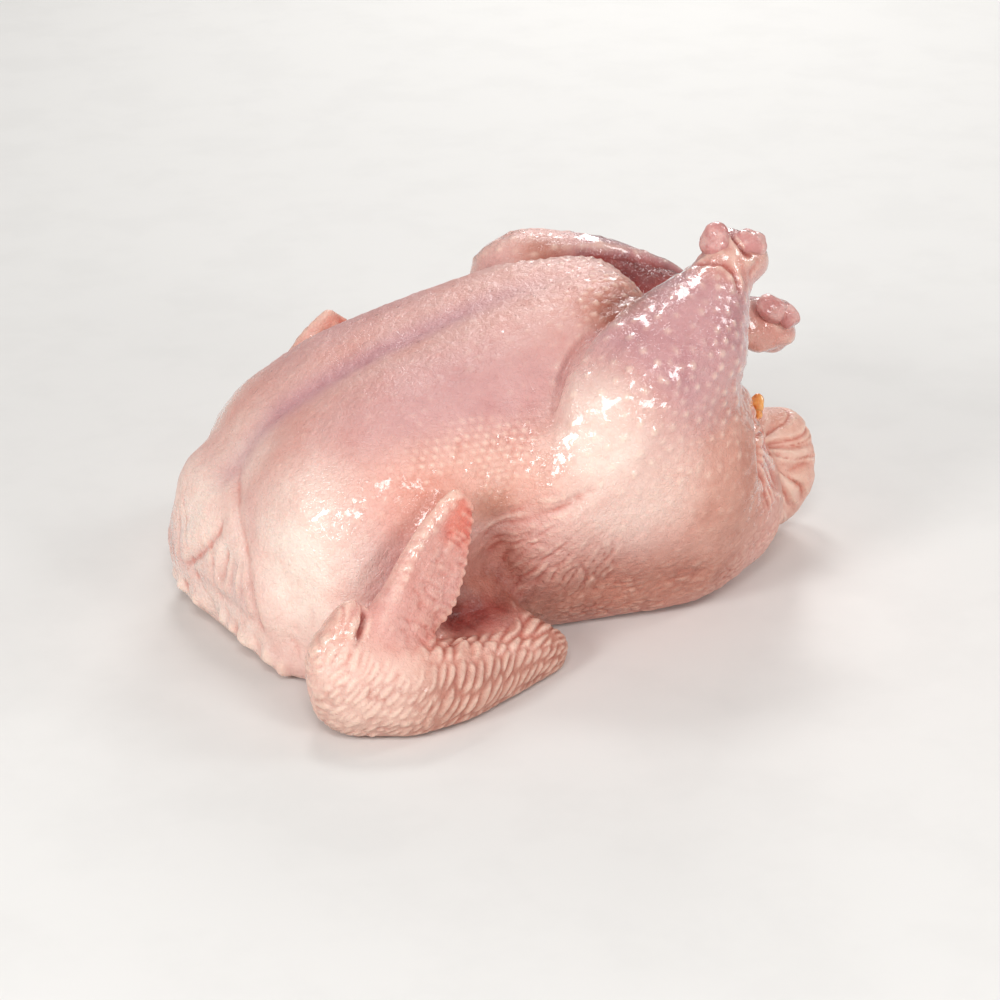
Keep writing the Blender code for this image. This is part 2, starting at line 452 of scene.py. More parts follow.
def scales(a, b, seed, jitter=0.7, lean=0.5):
    """Long rounded cells in staggered rows a unit apart: 0 in the creases, about 1 on top, higher at low a."""
    row = np.floor(b)
    nearest = np.full(len(a), 9.0)
    second = np.full(len(a), 9.0)
    offset = np.zeros(len(a))
    rise = np.zeros(len(a))
    for up in (-1, 0, 1):
        level = row + up
        shift = 0.5 * (level % 2)
        column = np.floor(a - shift)
        for beside in (-1, 0, 1):
            cell = np.stack([column + beside, level], 1)
            da = a - shift - cell[:, 0] - 0.5 - jitter * (hashed(cell, seed) - 0.5)
            db = b - level - 0.5 - jitter * (hashed(cell, seed + 1) - 0.5)
            d = np.hypot(da, db)
            second = np.minimum(second, np.maximum(nearest, d))
            closer = d < nearest
            nearest = np.where(closer, d, nearest)
            offset = np.where(closer, da, offset)
            rise = np.where(closer, hashed(cell, seed + 2), rise)
    return ramp(second - nearest, 0, 0.5) * (0.75 - lean * offset) * (0.7 + 0.3 * rise)


def wrinkles(phase, sharp=2.0):
    """Rounded ridges with narrow furrows between them, from 0 in a furrow to 1."""
    return 1 - np.abs(np.sin(np.pi * phase)) ** sharp


def streaks(over, along, pitch, length, seed):
    """Irregular fine folds that run along: 0 in their thin furrows, 1 on the rounded tops between."""
    field = noise(np.stack([over / pitch, along / length, np.zeros(len(over))], 1), 1.0, seed)
    return np.clip(np.abs(field) * 2.4, 0, 1)


def fan(places, root, near, far):
    """Coordinates in the x-z plane round a point where folds gather: reach, angle in degrees, and a mask."""
    dx, dz = places[:, 0] - root[0], places[:, 2] - root[2]
    reach = np.hypot(dx, dz)
    side = ramp(places[:, 1] * math.copysign(1, root[1]), -3, 3)
    return reach, np.degrees(np.arctan2(dz, dx)) % 360, side * ramp(reach, near / 2, near) * (1 - ramp(reach, far * 0.8, far * 1.2))


def bare_meat(places, shares):
    """The skinless inner side of the far leg, seen between the breast and the near leg."""
    x, y, z = places.T
    under = 1 - ramp(z + 0.16 * (x - 68), 115, 116.5)
    return np.clip(2.5 * shares["far_leg"], 0, 1) * under * (1 - ramp(y, 36, 44)) * (1 - ramp(x, 92, 102))


def folds(places):
    """The large creases and rolls, the same on both sides of the bird unless a limb lies elsewhere."""
    height = np.zeros(len(places))
    for side, knee in ((-1, NEAR_KNEE), (1, FAR_KNEE)):
        own = places * (1, -side, 1)
        lift = np.array((knee[0] - NEAR_KNEE[0], 0, knee[2] - NEAR_KNEE[2])) * 0.7

        def crease(points, depth, width, ends=0.2, moved=0.0):
            return groove(own, [np.array(p) + lift * moved for p in points], depth, width, ends)

        # Between breast and leg, then the fold of the thigh that fades out over its front.
        height += crease([(44, -33, 126), (32, -36, 122), (20, -39, 117), (10, -42, 113), (2, -48, 108), (-5, -57, 101),
                          (-9, -61, 95), (-11, -68, 88)], 2.0, 1.7, 0.2, 1)
        height += crease([(-6, -57, 99), (-11, -68, 88), (-16, -74, 77), (-20, -73, 68)], 0.8, 4.0, 0.3, 1)
        height += crease([(32, -46, 127), (20, -49, 122), (10, -51, 116), (3, -57, 109), (0, -63, 102), (-4, -71, 92)],
                         -1.6, 5.0, 0.25, 1)
        height += crease([(-24, -71, 58), (-19, -74, 62), (-13, -79, 66), (-4, -82, 71), (8, -82, 75)], 2.0, 3.0, 0.45)
        # The hollow of the flank and the dip low on the thigh.
        height += crease([(-38, -66, 60), (-33, -62, 48), (-30, -60, 36)], 2.4, 7.0, 0.4)
        height += crease([(18, -72, 30), (10, -70, 24), (2, -67, 20)], 1.6, 3.4, 0.4)
        height += crease([(62, -66, 22), (42, -70, 22), (22, -68, 17)], 1.3, 3.2, 0.4)
        # The pocket between the thigh and the tail.
        height += crease([(79, -50, 84), (79, -58, 76), (77, -64, 68), (78, -66, 60), (84, -64, 50)], 4.2, 3.2, 0.25)
        height += crease([(86, -44, 78), (88, -46, 68), (86, -54, 60)], 3.0, 5.0, 0.4)
        # Wing: the web sinks between the hand, the forearm and the flank.
        height += crease([(-62, -80, 28), (-50, -76, 29), (-38, -71, 26), (-29, -67, 22)], 6.0, 5.5, 0.25)
    return height


def neck_folds(places, wobble):
    """The neck's loose skin: a crease where it leaves the breast, a pocket with thin folds, and a rolled lip."""
    crease = [(-110, 2, 68), (-115, -9, 63), (-118, -25, 48), (-119, -37, 29), (-118, -41, 20), (-115, -45, 12)]
    height = groove(places, crease, 1.5, 2.6, 0.15)
    height += groove(places, [(-117, -5, 56), (-121, -10, 47), (-126, -1, 34), (-131, 14, 21)], 1.8, 1.8, 0.15)
    height += groove(places, [(-122, -4, 54), (-128, 4, 40), (-133, 16, 28)], -1.6, 5.0, 0.3)
    height += groove(places, [(-120, -20, 44), (-123, -18, 32), (-124, -14, 24)], 1.8, 7.0, 0.4)
    for root, tip, size in (((-122, -13, 44), (-125, -12, 24), 1.0), ((-121, -20, 44), (-124, -19, 22), 1.2),
                            ((-120, -27, 40), (-122, -28, 24), 0.9)):
        middle = (np.array(root) + tip) / 2 + (0, 1.5, 0)
        height += groove(places, [root, middle, tip], -size, 1.5, 0.35)
        height += groove(places, [np.array(p) + (0, 2.6, 0) for p in (root, middle, tip)], size, 1.1, 0.35)
    lip = [(-120, 46, 8), (-126, 30, 10), (-129, 8, 11), (-126, -7, 10), (-123, -23, 10), (-119, -37, 9), (-112, -47, 7),
           (-104, -56, 6)]
    frill = 1 + 1.3 * noise(places * (1, 1, 0.4), 5, 21)
    height += groove(places, lip, -2.3, 4.2, 0.1) * frill
    above = [np.array(p) + (2, 0, 11) for p in lip]
    height += groove(places, above, 2.2, 2.2, 0.1) * (1 + 0.5 * wobble)
    return height


KNOB_CREASE = [(73, -40, 152), (73, -44, 148), (75, -46.5, 143), (79, -47, 139.5)]


def hock_folds(places):
    """Where the skin of each drumstick was cut, below the bare joint."""
    near = [(57, -40, 138), (59, -43, 139), (62, -47, 140), (66, -49.5, 139), (69, -52, 135), (69.5, -56, 129)]
    height = groove(places, near, 1.6, 1.0, 0.08)
    height += groove(places, [np.array(p) + (2.5, 0.5, 3.4) for p in near], -0.9, 2.0, 0.1)
    height += groove(places, KNOB_CREASE, 2.2, 1.3, 0.25)
    for knuckle, drop in (((68, -39, 150), 2.2), ((80, -41, 147), 2.0), ((118, 4, 98), 2.4)):
        height -= drop * patch(places, knuckle, (9, 10, 7), 0.5)
    height += groove(places, [(84, -46, 139), (80, -48, 137), (75, -50, 133)], 0.9, 1.1, 0.3)
    far = [(107, 2, 98), (113, 1, 92), (121, 1, 86), (129, 4, 80)]
    height += groove(places, far, 1.8, 1.2, 0.1)
    height += groove(places, [np.array(p) + (-1, 0, -3.5) for p in far], -1.0, 2.2, 0.2)
    return height


def slit(hand):
    """Between the thumb and the palm, where they part."""
    return hand.line([(0.4, -12.6, 0), (0.37, -12.4, 2), (0.31, -12, 4), (0.25, -12.4, 6.5), (0.16, -13, 8.5)])


def hand_folds(places, hand, share, wobble):
    """A hand's creases: the slit before the thumb, a furrow beside the bone, and fine wrinkles to its hind edge."""
    t, across, out = hand.coordinates(places)
    fore, hind = fore_edge(t), hind_edge(t)
    outer = share * ramp(out, -2, 1.5)
    height = groove(places, slit(hand), 3.2, 1.2, 0.25)
    height += groove(places, hand.line([(0.86, 4, 3), (0.74, 4.4, 3), (0.6, 5.6, 4)]), 0.7, 1.3, 0.3)
    ridge = np.exp(-(((across - fore - 3.2) / 2.6) ** 2)) * ramp(t, 0.42, 0.56)
    height += outer * ridge * (0.2 + 0.8 * beads(t * hand.length, across, 4.4, 3.2, 1.7, 83))
    fine = streaks(t * hand.length + 0.12 * across, across, 1.7, 9, 84)
    height += outer * 0.55 * (fine - 0.6) * ramp(across - fore, 6, 12) * ramp(t, 0.12, 0.3)
    thumb = ramp(-across, 9, 13) * ramp(t, -0.02, 0.1) * (1 - ramp(t, 0.36, 0.46))
    height += outer * 0.8 * (streaks(across + 12 * t, t * hand.length, 2.6, 14, 85) - 0.6) * thumb
    height -= share * 1.6 * np.exp(-(((t - 0.4) / 0.07) ** 2)) * ramp(-across, 11, 14)
    return height


def serrated(places, share, hand):
    """The hind edge of a hand, nicked where its flight feathers were."""
    t, across, _ = hand.coordinates(places)
    near_edge = share * np.exp(-(((hind_edge(t) - across) / 2.0) ** 2)) * ramp(t, 0.24, 0.34)
    nick = np.abs(np.sin(np.pi * t * hand.length / 3.7)) ** 0.7
    return places + hand.across * (near_edge * (1.3 * nick - 0.9))[:, None]


def relief(places, shares, fields):
    """How far the skin stands out at each vertex, from its folds, ridges and feather follicles."""
    x, y, z = places.T
    side = np.abs(y)
    own = np.stack([x, -side, z], 1)
    wobble = noise(places, 8, 11)
    height = 0.9 * noise(places, 30, 3) + 0.4 * noise(places, 13, 4) + 0.2 * noise(places, 5.5, 6)
    height += 0.13 * noise(places, 3.0, 7)
    height += folds(places) + neck_folds(places, wobble) + hock_folds(places)
    for name, hand in zip(("near_hand", "far_hand"), HANDS):
        height += hand_folds(places, hand, np.minimum(1, 1.6 * shares[name]), wobble)

    # The groove over the keel, widest and deepest by the neck.
    keel = np.exp(-(((y - 1.5 * noise(places, 24, 12)) / 5.5) ** 2)) * ramp(z, 50, 70)
    height -= keel * (0.3 + 0.9 * (1 - ramp(x, -100, -20)))
    loose = np.clip(1.5 * shares["neck"], 0, 1) * ramp(z, 2, 14)
    height += loose * 0.6 * (streaks(y - 0.4 * z + 2 * wobble, z, 8.0, 34, 24) - 0.6)

    # Forearms: long slanting bumps over the top, smaller ones below, and fine slanting ones round the wrist.
    web = patch(own, (-46, -75, 28), (22, 10, 11), 0.3)
    for name, out, elbow, wrist_at in (
        ("near_forearm", -1, NEAR_ELBOW, NEAR_WRIST), ("far_forearm", 1, FAR_ELBOW, FAR_WRIST)
    ):
        bone = np.array(wrist_at) - elbow
        u = (places - elbow) @ bone / np.linalg.norm(bone)
        v = fields[name][2] * 16 * out
        bent = 0.14 * wobble
        large = scales((u - 0.8 * v) / 6.2 + bent, (v + 4) / 12.5 + bent, 31, 0.45)
        small = scales((u - 0.8 * v) / 4.4 + bent, v / 7.5 + bent, 35, 0.5)
        low = ramp(v + 2 * wobble, 10, 17)
        rope = large * (1 - low) * 2.3 + small * low * 1.5
        wrist = ramp(u + 2 * wobble, 58, 74)
        upper = 0.15 + 0.85 * ramp(v, -9, -1)
        height += shares[name] * (1 - web) * (rope - 0.8) * (1 - wrist) * ramp(u, -14, 2) * upper
    for name in ("near_forearm", "far_forearm", "near_hand", "far_hand"):
        limb = "near" if name[0] == "n" else "far"
        t, across, _ = HANDS[limb == "far"].coordinates(places)
        fine = scales((x - z) / 3.2 + 0.2 * wobble, (x + z + 0.6 * side) / 11.0, 37, 0.9, -0.3)
        u = fields[limb + "_forearm"][1]
        wrist = ramp(u + 2 * wobble, 58, 72) * (1 - 0.35 * ramp(u, 80, 98)) * (1 - ramp(t, 0.1, 0.22))
        height += shares[name] * wrist * 1.15 * (fine - 0.5)

    # Drumsticks: pale follicles, far apart on the calf, crowded by the hock and on the side away from the breast.
    for name, sign in (("near_leg", 1), ("far_leg", -1)):
        _, u, angle = fields[name]
        back = patch(own, (68, -66, 112), (20, 20, 36), 0.5) * (sign > 0)
        bare = np.maximum(bare_meat(places, shares), ramp(u, 78, 84))
        share = np.clip(1.6 * shares[name] * ramp(u, -6, 4), 0, 1)
        share = np.maximum(share, 0.8 * patch(own, (34, -78, 92), (40, 24, 30), 0.4)) * (1 - bare)
        crowded = np.clip(np.maximum(ramp(u, 44, 54), back), 0, 1)
        height += 0.6 * follicles(places, share * (1 - crowded), 6.4, 1.5, 41)
        height += 0.7 * follicles(places, share * crowded, 4.4, 1.5, 42)
        height -= 2.0 * bare_meat(places, shares)

    # Thighs and flanks: folds that gather at the end of the thigh's crease, and a net of creases low down.
    for name, sign in (("near_thigh", -1), ("far_thigh", 1)):
        root = (10, sign * 80, 77)
        reach, angle, near = fan(places, root, 32, 62)
        pulled = near * ramp(angle, 188, 198) * (1 - ramp(angle, 228, 250))
        gathers = streaks(angle + 3 * wobble, reach, 4.6, 22, 51) - 0.7
        gathers += 0.7 * ramp(reach, 34, 42) * (streaks(angle + 3 * wobble, reach, 2.5, 22, 53) - 0.7)
        height += 0.7 * pulled * gathers * (1 - shares["trunk"] * 0.4)
        thigh = np.clip(shares[name] * 1.3, 0, 1)
        net = cracks(np.stack([reach * 0.2, angle * 0.62, side * 0.2], 1) + 0.7 * wobble[:, None], 3.0, 51)
        low = near * ramp(angle, 200, 215) * (1 - ramp(angle, 265, 285)) * (1 - ramp(z, 40, 62))
        uneven = 0.5 + 0.5 * ramp(noise(places, 11, 58), -0.5, 0.5)
        height -= thigh * 0.8 * uneven * np.exp(-((net / 0.12) ** 2)) * low
        flat = cracks(np.stack([x * 0.5, z, side * 0.6], 1) + 0.9 * wobble[:, None], 3.0, 57)
        height -= thigh * 0.7 * uneven * np.exp(-((flat / 0.12) ** 2)) * (1 - ramp(z, 20, 46)) * (1 - low)
        height += 0.3 * follicles(places, thigh * ramp(z, 30, 50), 4.6, 1.5, 55)

    # Breast: cells in rows beside the wings, follicles at the tip, ripples over it, faint follicles elsewhere on top.
    beside = patch(own, (-34, -64, 82), (34, 22, 15), 0.5)
    height += shares["trunk"] * 0.9 * beads(x + 0.1 * z, z * 1.2, 3.6, 2.9, 1.25, 61) * beside
    before = patch(own, (-74, -62, 70), (24, 20, 17), 0.6)
    height += 0.4 * follicles(places, shares["trunk"] * before, 4.2, 1.5, 62)
    tip = patch(own, (36, -24, 119), (30, 26, 16), 0.5)
    height += 0.8 * follicles(places, shares["trunk"] * tip, 3.8, 1.3, 71)
    ripples = patch(places, (38, 4, 125), (17, 22, 10), 0.5)
    height -= shares["trunk"] * 0.3 * ripples * wrinkles(x / 2.4 + 0.3 * wobble)
    crown = shares["trunk"] * ramp(z, 74, 92) * (1 - keel) * (1 - tip) * (1 - beside)
    height += 0.25 * follicles(places, crown, 4.8, 1.2, 73)

    # Tail: creases that spread from the pocket where the thigh meets it.
    for sign in (-1, 1):
        for root, share in (
            ((92, sign * 16, 48), shares["tail"]),
            ((72, sign * 66, 72), (0.7 - 0.3 * sign) * (1 - shares["tail"]) * patch(own, (86, -48, 56), (16, 20, 26), 0.5)),
        ):
            reach, angle, near = fan(places, root, 6, 46)
            turned = (angle + 180) % 360 - 180
            spread_out = near * share * ramp(turned, -85, -65) * (1 - ramp(turned, 60, 80))
            bent = turned + 4 * noise(places, 16, 93)
            wide = streaks(bent, reach, 9.0, 60, 92) - 0.6
            narrow = streaks(bent, reach, 4.2, 30, 94) - 0.6
            height += spread_out * (1.8 * wide + 1.1 * ramp(reach, 10, 20) * narrow)
    return height


def thinned(mesh, triangles):
    """The same skin with its triangles spent where it curves most."""
    made = bpy.data.objects.new("thinning", mesh)
    bpy.context.scene.collection.objects.link(made)
    decimate = made.modifiers.new("Thin", "DECIMATE")
    mesh.calc_loop_triangles()
    decimate.ratio = min(1.0, triangles / len(mesh.loop_triangles))
    graph = bpy.context.evaluated_depsgraph_get()
    kept = bpy.data.meshes.new_from_object(made.evaluated_get(graph))
    bpy.data.objects.remove(made)
    kept.name = "skin"
    return kept


def skin_piece():
    mesh = fine_skin()
    places, triangles, edges = read_mesh(mesh)
    shares, fields = regions(places)
    height = relief(places, shares, fields)
    ground = ramp(places[:, 2], 0.3, 4)
    sculpted = places + normals_of(places, triangles) * (height * ground)[:, None]
    for name, hand in zip(("near_hand", "far_hand"), HANDS):
        sculpted = serrated(sculpted, shares[name], hand)
    sculpted = relaxed(sculpted, edges, 1, 0.3)
    sculpted[:, 2] = np.maximum(sculpted[:, 2], 0)
    paint(mesh, places, sculpted, triangles, edges, shares, fields)
    write_places(mesh, (sculpted - OWN_ORIGIN) * MM)
    mesh = thinned(mesh, SKIN_TRIANGLES)
    piece = bpy.data.objects.new("skin", mesh)
    bpy.context.scene.collection.objects.link(piece)
    mesh.shade_smooth()
    return piece


# ---------------------------------------------------------------- colour zones, some of them painted shade and highlight

def attribute(mesh, name, values):
    layer = mesh.attributes.new(name, "FLOAT", "POINT")
    layer.data.foreach_set("value", np.clip(values, 0, 1).astype(np.float32))


def zones(places, eggs):
    """The strongest of several egg-shaped zones: centre, radii, strength."""
    total = np.zeros(len(places))
    for centre, radii, strength in eggs:
        total = np.maximum(total, strength * patch(places, centre, radii, 0.7))
    return total


def paint(mesh, places, sculpted, triangles, edges, shares, fields):
    """Where each tone of the skin lies, as one number a vertex for the material to mix; the furrow, ridge, tan and meat
    zones and one mauve zone also hold painted shade or highlight.
    """
    x, y, z = places.T
    own = np.stack([x, -np.abs(y), z], 1)
    leg = np.maximum(
        shares["near_leg"] * ramp(fields["near_leg"][1], 4, 26), shares["far_leg"] * ramp(fields["far_leg"][1], 4, 26)
    )
    forearm = shares["near_forearm"] + shares["far_forearm"]

    keel = np.exp(-((y / 8) ** 2)) * ramp(z, 50, 70) * (1 - ramp(x, -30, 30))
    mauve = np.maximum(0.9 * keel, 0.8 * leg)
    mauve = np.maximum(mauve, zones(own, [
        ((-34, -44, 98), (56, 26, 22), 0.5),
        ((-82, -66, 44), (18, 18, 14), 0.5),
        # Painted shade: the darker mauve on the flank just above the web.
        ((-50, -70, 38), (20, 14, 14), 0.5),
        ((-114, -10, 50), (14, 16, 12), 0.3),
    ]))
    cream = zones(own, [
        ((-100, -50, 46), (22, 24, 34), 0.9),
        ((-126, -6, 46), (14, 30, 20), 0.75),
        ((4, -76, 88), (16, 18, 22), 0.8),
        ((-108, -10, 70), (14, 12, 16), 0.4),
        ((14, -84, 66), (24, 22, 20), 0.45),
        ((-102, -108, 20), (22, 18, 22), 0.4),
        ((-122, -16, 12), (14, 40, 12), 0.7),
    ])
    peach = zones(own, [
        ((-40, -66, 78), (44, 20, 14), 0.8),
        ((62, -66, 56), (30, 40, 34), 0.7),
        ((112, -6, 34), (34, 40, 34), 1.0),
    ])
    peach = np.maximum(peach, 0.75 * forearm)
    hocks = zones(places, [((114, 6, 85), (16, 14, 11), 0.9), ((73, -44, 139), (15, 13, 9), 0.8)])
    peach = np.maximum(peach, 0.5 * hocks)
    mauve = mauve * (1 - 0.7 * hocks)
    flush = zones(own, [
        ((-66, -62, 72), (22, 16, 12), 0.25),
        ((84, -46, 60), (14, 20, 20), 0.6),
    ])
    flush = np.maximum(flush, 0.25 * hocks)
    for name, hand in zip(("near_hand", "far_hand"), HANDS):
        t, across, out = hand.coordinates(places)
        hind = np.exp(-(((hind_edge(t) - across) / 3.0) ** 2)) * ramp(t, 0.2, 0.4)
        share = np.minimum(1, 1.6 * shares[name]) * ramp(out, -3.5, -1)
        flush = np.maximum(flush, share * np.maximum(ramp(t, 0.66, 0.86) * ramp(across, -3, 4), 0.2 + 0.4 * hind))
    # Tan: the skin's own tone by the tail root and at the breast tip; the zones low by the ground beside the elbows and
    # along the flanks, in the corners under the hands, and low on the thighs' sides by the tail are painted shade.
    tan = zones(own, [
        ((90, -28, 50), (15, 22, 22), 0.8),
        ((-12, -84, 8), (18, 18, 16), 0.9),
        ((20, -68, 16), (64, 20, 22), 0.9),
        ((-36, -66, 30), (20, 14, 22), 0.9),
        ((66, -66, 58), (24, 28, 38), 0.62),
        ((30, -34, 120), (12, 15, 12), 1.0),
        ((42, -18, 119), (13, 16, 12), 0.8),
    ])
    # Painted shade: the undersides of the forearms darker tan; the hocks' tan is their own.
    under = np.maximum(ramp(fields["near_forearm"][2] * -16, 12, 22), ramp(fields["far_forearm"][2] * 16, 12, 22))
    tan = np.maximum(tan, np.maximum(0.75 * forearm * under, 0.3 * hocks))
    # Meat red: the bare inner side of the far leg and the breast tip's red edge are their own colour; the web between
    # hand, forearm and flank is its own red darkened as painted shade, and the zone beside it below the hand is painted
    # shade.
    meat = zones(own, [
        ((-46, -75, 26), (20, 9, 9), 1.0),
        ((-30, -68, 28), (14, 12, 12), 0.35),
        ((33, -34, 122), (9, 12, 9), 0.35),
    ])
    meat = np.maximum(meat, bare_meat(places, shares))
    # Painted shade: dark red lines along the slit between thumb and palm and along the crease between the knuckles.
    for hand in HANDS:
        gap, _ = near_line(places, slit(hand), 6)
        meat = np.maximum(meat, 0.8 * np.exp(-((gap / 1.1) ** 2)))
    gap, _ = near_line(places, KNOB_CREASE, 6)
    meat = np.maximum(meat, 0.7 * np.exp(-((gap / 1.2) ** 2)))
    meat *= 0.78 + 0.22 * streaks(x + z, x - z, 2.6, 24, 97)
    stain = zones(own, [((-36, -68, 66), (9, 9, 6), 0.9)])
    lift = ((sculpted - relaxed(sculpted, edges, 12)) * normals_of(sculpted, triangles)).sum(1)
    attribute(mesh, "mauve", mauve)
    attribute(mesh, "cream", cream)
    attribute(mesh, "peach", peach)
    attribute(mesh, "tan", tan)
    attribute(mesh, "flush", flush)
    attribute(mesh, "meat", meat)
    attribute(mesh, "stain", stain)
    attribute(mesh, "wet", np.maximum(0.9 * leg, zones(own, [
        ((-100, -54, 66), (20, 20, 20), 0.9),
        ((8, -78, 94), (32, 26, 30), 1.0),
        ((-66, -76, 62), (14, 14, 24), 0.9),
        ((-108, -88, 40), (13, 12, 18), 0.7),
        ((40, -32, 110), (20, 22, 20), 0.5),
        ((60, 44, 116), (60, 24, 26), 0.9),
        ((-36, -68, 66), (12, 10, 9), 1.0),
        ((-124, -16, 26), (12, 24, 18), 0.8),
        ((80, -56, 66), (20, 20, 24), 0.7),
    ])))
    # Pale on raised spots, found from how far each vertex stands above its smoothed neighbours: the follicles' own
    # paleness, and a painted highlight along every raised crest and roll.
    attribute(mesh, "ridge", ramp(lift, 0.02, 0.4))
    # Painted shade: the furrow zone darkens the colour in creases and hollows, found from how far each vertex sits
    # below its smoothed neighbours, less along the parting between breast and leg.
    parting, _ = near_line(places, [(32, -36, 122), (10, -42, 113), (-5, -57, 101), (-11, -68, 88)], 8)
    attribute(mesh, "furrow", ramp(-lift, 0.03, 0.45) * (1 - 0.7 * np.exp(-((parting / 5) ** 2))))


# ---------------------------------------------------------------- shader nodes

def put(tree, socket, value):
    """Sets an input to a plain value, or links another node's output to it."""
    if isinstance(value, bpy.types.NodeSocket):
        tree.links.new(value, socket)
    else:
        socket.default_value = value


def add(tree, kind, settings=None, **inputs):
    """A new node with its settings and its inputs by name, with _ for a space, or by number."""
    node = tree.nodes.new("ShaderNode" + kind)
    for name, value in (settings or {}).items():
        setattr(node, name, value)
    for name, value in inputs.items():
        key = int(name[1:]) if name[0] == "_" else name.replace("_", " ")
        put(tree, node.inputs[key], value)
    return node


def maths(tree, operation, a, b=0.0):
    return add(tree, "Math", {"operation": operation}, _0=a, _1=b).outputs[0]


def blend(tree, share, a, b, how="MIX"):
    """A colour from a to b by a share."""
    return add(tree, "Mix", {"data_type": "RGBA", "blend_type": how}, _0=share, _6=a, _7=b).outputs[2]


def stretch(tree, value, low, high, to_low=0.0, to_high=1.0):
    node = add(tree, "MapRange", {"interpolation_type": "SMOOTHSTEP"}, Value=value)
    for name, number in (("From Min", low), ("From Max", high), ("To Min", to_low), ("To Max", to_high)):
        put(tree, node.inputs[name], number)
    return node.outputs["Result"]


def mask(tree, name):
    """One of the skin's painted zones."""
    return add(tree, "Attribute", {"attribute_name": name}).outputs["Fac"]


def group(name, inputs, outputs):
    """An empty node group with named sockets, its input node and its output node."""
    tree = bpy.data.node_groups.new(name, "ShaderNodeTree")
    for label, kind, value in inputs:
        socket = tree.interface.new_socket(label, in_out="INPUT", socket_type="NodeSocket" + kind)
        socket.default_value = value
    for label, kind in outputs:
        tree.interface.new_socket(label, in_out="OUTPUT", socket_type="NodeSocket" + kind)
    return tree, tree.nodes.new("NodeGroupInput").outputs, tree.nodes.new("NodeGroupOutput").inputs


def use(tree, made, **inputs):
    node = tree.nodes.new("ShaderNodeGroup")
    node.node_tree = made
    for name, value in inputs.items():
        put(tree, node.inputs[name], value)
    return node.outputs


def tone(r, g, b):
    """A colour from 0 to 255 as the eye sees it, in the shader's linear numbers."""
    return (*(((c / 255 + 0.055) / 1.055) ** 2.4 for c in (r, g, b)), 1)


def mottle_group():
    """Blotches of a second tone over a first."""
    tree, given, out = group(
        "Mottle",
        [("Tone", "Color", (1, 1, 1, 1)), ("Blotch", "Color", (1, 0, 0, 1)), ("Amount", "Float", 0.5),
         ("Scale", "Float", 60.0)],
        [("Tone", "Color")],
    )
    where = add(tree, "TexCoord").outputs["Object"]
    patches = add(tree, "TexNoise", Vector=where, Scale=given["Scale"], Detail=4.0, Roughness=0.6)
    share = maths(tree, "MULTIPLY", stretch(tree, patches.outputs["Fac"], 0.42, 0.66), given["Amount"])
    put(tree, out["Tone"], blend(tree, share, given["Tone"], given["Blotch"]))
    return tree


def film_group():
    """A film of meat juice: where it is wet, and how rough the skin is under and between it."""
    tree, given, out = group(
        "Juice film",
        [("Scale", "Float", 120.0), ("Wet", "Float", 0.5), ("Smooth", "Float", 0.25), ("Dull", "Float", 0.5)],
        [("Film", "Float"), ("Roughness", "Float")],
    )
    where = add(tree, "TexCoord").outputs["Object"]
    pools = add(tree, "TexNoise", Vector=where, Scale=given["Scale"], Detail=3.0, Roughness=0.55)
    edge = maths(tree, "SUBTRACT", 1.0, given["Wet"])
    film = stretch(tree, pools.outputs["Fac"], maths(tree, "SUBTRACT", edge, 0.06), maths(tree, "ADD", edge, 0.06))
    put(tree, out["Film"], film)
    rough = add(tree, "Mix", {"data_type": "FLOAT"}, _0=film, _2=given["Dull"], _3=given["Smooth"]).outputs[0]
    put(tree, out["Roughness"], rough)
    return tree


def pores_group():
    """Heights of the finest skin texture: goose flesh, pores and hair-thin creases."""
    tree, given, out = group("Pores", [("Size", "Float", 1.0)], [("Height", "Float"), ("Pit", "Float")])
    where = add(tree, "TexCoord").outputs["Object"]
    fine = maths(tree, "DIVIDE", 1.0, given["Size"])
    net = add(
        tree, "TexVoronoi", {"feature": "DISTANCE_TO_EDGE"}, Vector=where, Scale=maths(tree, "MULTIPLY", fine, 560.0)
    )
    crease = stretch(tree, net.outputs["Distance"], 0.0, 0.16)
    goose = add(
        tree, "TexNoise", Vector=where, Scale=maths(tree, "MULTIPLY", fine, 330.0), Detail=2.0, Roughness=0.5
    )
    grain = add(
        tree, "TexNoise", Vector=where, Scale=maths(tree, "MULTIPLY", fine, 1100.0), Detail=2.0, Roughness=0.6
    )
    total = maths(tree, "ADD", maths(tree, "MULTIPLY", crease, 0.12), goose.outputs["Fac"])
    total = maths(tree, "ADD", total, maths(tree, "MULTIPLY", grain.outputs["Fac"], 0.22))
    put(tree, out["Height"], total)
    put(tree, out["Pit"], stretch(tree, total, 0.42, 0.66, 1.0, 0.0))
    return tree


MOTTLE = mottle_group()
FILM = film_group()
PORES = pores_group()


def material(name, colour):
    """A material with a Principled shader; gives its tree and that shader."""
    made = bpy.data.materials.new(name)
    made.use_nodes = True
    made.diffuse_color = colour
    tree = made.node_tree
    return made, tree, tree.nodes["Principled BSDF"]


def set_plain(tree, shader, **inputs):
    for name, value in inputs.items():
        put(tree, shader.inputs[name.replace("_", " ")], value)


